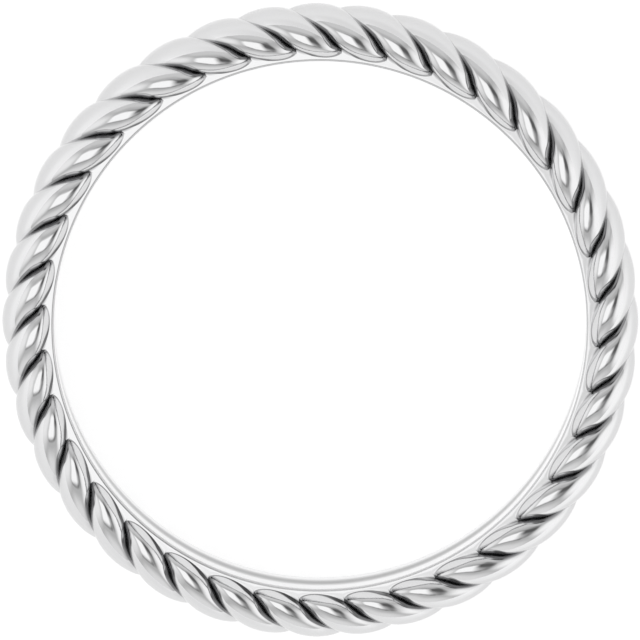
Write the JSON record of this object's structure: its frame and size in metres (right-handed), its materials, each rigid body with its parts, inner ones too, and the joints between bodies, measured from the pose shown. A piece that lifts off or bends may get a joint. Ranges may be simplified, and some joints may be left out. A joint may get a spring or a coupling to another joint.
{
  "type": "finger ring",
  "caption": "Polished metal finger ring whose outside is a band of slanting twisted rope strands, with a smooth, nearly straight inner face.",
  "frame": {"origin": "centre of the ring's underside as it lies on its side: on the finger hole's axis, at the floor", "axes": "+Z up along the finger hole's axis, out of the face that the camera sees; +Y towards the picture's top; -X towards the picture's left as seen along -Z with +Y up"},
  "size_m": [0.0208, 0.0208, 0.0041],
  "materials": {
    "polished_metal": "mirror polished white metal"
  },
  "bodies": {
    "root": {"twist_band": "polished_metal"}
  },
  "joints": []
}
